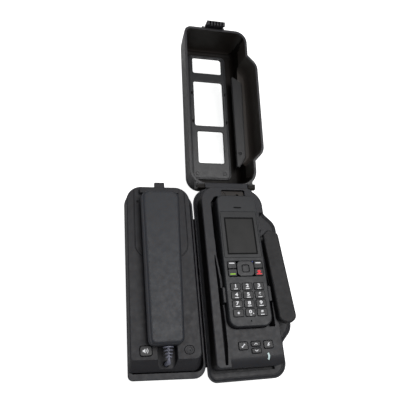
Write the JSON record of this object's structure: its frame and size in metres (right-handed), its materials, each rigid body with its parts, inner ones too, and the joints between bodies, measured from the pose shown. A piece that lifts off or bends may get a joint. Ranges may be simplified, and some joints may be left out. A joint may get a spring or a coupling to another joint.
{
  "type": "satellite phone station",
  "caption": "Marine satellite phone held in a lidded dock with clear lid windows, beside a corded call handset on its own cradle housing.",
  "frame": {"origin": "underside of the mounting plate, near its centre", "axes": "+Z away from the plate, +Y from the front lip towards the lid's hinge, +X from the call handset towards the dock"},
  "size_m": [0.2045, 0.5126, 0.1118],
  "materials": {
    "shell_plastic": "fine moulded texture, satin",
    "lid_inner": "smooth moulded",
    "handset_plastic": "fine spark-eroded texture",
    "phone_plastic": "soft satin",
    "key_plastic": "satin keys with pale printed marks",
    "seal_rubber": "matt",
    "clear_pane": "clear polycarbonate",
    "display_window": "hard gloss window",
    "display_panel": "unlit display",
    "steel": "brushed",
    "circuit_board": "solder mask",
    "inner_black": "matt",
    "cord_rubber": "satin",
    "status_lens": "translucent light pipe"
  },
  "bodies": {
    "station": {"mounting_plate": "steel", "dock_tray": "shell_plastic", "dock_seal": "seal_rubber", "dock_cradle": "shell_plastic", "dock_board": "circuit_board", "connector_block": "inner_black", "hinge_pin": "steel", "status_light": "status_lens", "unit_base": "shell_plastic", "unit_cover": "shell_plastic", "end_stop": "shell_plastic", "microphone_port": "inner_black", "ringer": "inner_black"},
    "lid": {"lid_shell": "shell_plastic", "lid_window_panel": "lid_inner", "pane_screen": "clear_pane", "pane_keypad": "clear_pane", "pane_dock_keys": "clear_pane", "lid_pad": "shell_plastic", "latch_pin": "steel"},
    "latch": {"lid_latch": "shell_plastic"},
    "phone": {"phone_front": "phone_plastic", "phone_rear": "phone_plastic", "phone_window": "display_window", "phone_display": "display_panel", "phone_board": "circuit_board", "phone_battery": "inner_black", "antenna_pivot": "inner_black"},
    "antenna": {"antenna_paddle": "phone_plastic"},
    "handset": {"handset_back": "handset_plastic", "handset_front": "handset_plastic", "handset_receiver": "inner_black", "handset_cord": "cord_rubber"},
    "hook": {"hook_plunger": "inner_black"},
    "clip_left": {"clip_left": "shell_plastic"},
    "clip_right": {"clip_right": "shell_plastic"},
    "nav": {"nav_ring": "key_plastic"},
    "speaker_key": {"speaker_key": "key_plastic"},
    "key_1": {"key_1": "key_plastic"},
    "key_2": {"key_2": "key_plastic"},
    "key_3": {"key_3": "key_plastic"},
    "key_4": {"key_4": "key_plastic"},
    "key_5": {"key_5": "key_plastic"},
    "key_6": {"key_6": "key_plastic"},
    "key_7": {"key_7": "key_plastic"},
    "key_8": {"key_8": "key_plastic"},
    "key_9": {"key_9": "key_plastic"},
    "key_star": {"key_star": "key_plastic"},
    "key_0": {"key_0": "key_plastic"},
    "key_hash": {"key_hash": "key_plastic"},
    "soft_key_left": {"soft_key_left": "key_plastic"},
    "soft_key_right": {"soft_key_right": "key_plastic"},
    "call_key": {"call_key": "key_plastic"},
    "end_key": {"end_key": "key_plastic"},
    "select_key": {"select_key": "key_plastic"},
    "dock_key_left": {"dock_key_left": "key_plastic"},
    "dock_key_up": {"dock_key_up": "key_plastic"},
    "dock_key_down": {"dock_key_down": "key_plastic"},
    "dock_key_right": {"dock_key_right": "key_plastic"}
  },
  "joints": [
    {"name": "lid_hinge", "type": "hinge", "parent": "station", "child": "lid", "pos_m": [0.0455, 0.1258, 0.0595], "axis": [-1, 0, 0], "range_deg": [-170, 0]},
    {"name": "latch_swing", "type": "hinge", "parent": "lid", "child": "latch", "pos_m": [0.04325, 0.38108, 0.0906], "axis": [-1, 0, 0], "range_deg": [0, 25]},
    {"name": "phone_lift", "type": "slide", "parent": "station", "child": "phone", "axis": [0, 0, 1], "range_m": [0, 0.05]},
    {"name": "antenna_swing", "type": "hinge", "parent": "phone", "child": "antenna", "pos_m": [0.0743, 0.038, 0.0875], "axis": [-1, 0, 0], "range_deg": [0, 150]},
    {"name": "handset_lift", "type": "slide", "parent": "station", "child": "handset", "axis": [0, 0, 1], "range_m": [0, 0.05]},
    {"name": "hook_rise", "type": "slide", "parent": "station", "child": "hook", "axis": [0, 0, 1], "range_m": [0, 0.003]},
    {"name": "clip_left_flex", "type": "hinge", "parent": "station", "child": "clip_left", "pos_m": [0.01765, -0.0325, 0.0675], "axis": [0, -1, 0], "range_deg": [0, 6]},
    {"name": "clip_right_flex", "type": "hinge", "parent": "station", "child": "clip_right", "pos_m": [0.07525, -0.0325, 0.0675], "axis": [0, 1, 0], "range_deg": [0, 6]},
    {"name": "nav_tilt", "type": "hinge", "parent": "phone", "child": "nav", "pos_m": [0.0468, -0.0017, 0.0915], "axis": [1, 0, 0], "range_deg": [-2, 2]},
    {"name": "key_1_press", "type": "slide", "parent": "phone", "child": "key_1", "axis": [0, 0, -1], "range_m": [0, 0.0007]},
    {"name": "key_2_press", "type": "slide", "parent": "phone", "child": "key_2", "axis": [0, 0, -1], "range_m": [0, 0.0007]},
    {"name": "key_3_press", "type": "slide", "parent": "phone", "child": "key_3", "axis": [0, 0, -1], "range_m": [0, 0.0007]},
    {"name": "key_4_press", "type": "slide", "parent": "phone", "child": "key_4", "axis": [0, 0, -1], "range_m": [0, 0.0007]},
    {"name": "key_5_press", "type": "slide", "parent": "phone", "child": "key_5", "axis": [0, 0, -1], "range_m": [0, 0.0007]},
    {"name": "key_6_press", "type": "slide", "parent": "phone", "child": "key_6", "axis": [0, 0, -1], "range_m": [0, 0.0007]},
    {"name": "key_7_press", "type": "slide", "parent": "phone", "child": "key_7", "axis": [0, 0, -1], "range_m": [0, 0.0007]},
    {"name": "key_8_press", "type": "slide", "parent": "phone", "child": "key_8", "axis": [0, 0, -1], "range_m": [0, 0.0007]},
    {"name": "key_9_press", "type": "slide", "parent": "phone", "child": "key_9", "axis": [0, 0, -1], "range_m": [0, 0.0007]},
    {"name": "key_star_press", "type": "slide", "parent": "phone", "child": "key_star", "axis": [0, 0, -1], "range_m": [0, 0.0007]},
    {"name": "key_0_press", "type": "slide", "parent": "phone", "child": "key_0", "axis": [0, 0, -1], "range_m": [0, 0.0007]},
    {"name": "key_hash_press", "type": "slide", "parent": "phone", "child": "key_hash", "axis": [0, 0, -1], "range_m": [0, 0.0007]},
    {"name": "soft_key_left_press", "type": "slide", "parent": "phone", "child": "soft_key_left", "axis": [0, 0, -1], "range_m": [0, 0.0007]},
    {"name": "soft_key_right_press", "type": "slide", "parent": "phone", "child": "soft_key_right", "axis": [0, 0, -1], "range_m": [0, 0.0007]},
    {"name": "call_key_press", "type": "slide", "parent": "phone", "child": "call_key", "axis": [0, 0, -1], "range_m": [0, 0.0007]},
    {"name": "end_key_press", "type": "slide", "parent": "phone", "child": "end_key", "axis": [0, 0, -1], "range_m": [0, 0.0007]},
    {"name": "select_key_press", "type": "slide", "parent": "phone", "child": "select_key", "axis": [0, 0, -1], "range_m": [0, 0.0007]},
    {"name": "dock_key_left_press", "type": "slide", "parent": "station", "child": "dock_key_left", "axis": [0, 0, -1], "range_m": [0, 0.0008]},
    {"name": "dock_key_up_press", "type": "slide", "parent": "station", "child": "dock_key_up", "axis": [0, 0, -1], "range_m": [0, 0.0008]},
    {"name": "dock_key_down_press", "type": "slide", "parent": "station", "child": "dock_key_down", "axis": [0, 0, -1], "range_m": [0, 0.0008]},
    {"name": "dock_key_right_press", "type": "slide", "parent": "station", "child": "dock_key_right", "axis": [0, 0, -1], "range_m": [0, 0.0008]},
    {"name": "speaker_key_press", "type": "slide", "parent": "station", "child": "speaker_key", "axis": [0, 0, -1], "range_m": [0, 0.001]}
  ],
  "couplings": [
    {"joint": "hook_rise", "follows": "handset_lift", "ratio": 0.05}
  ]
}
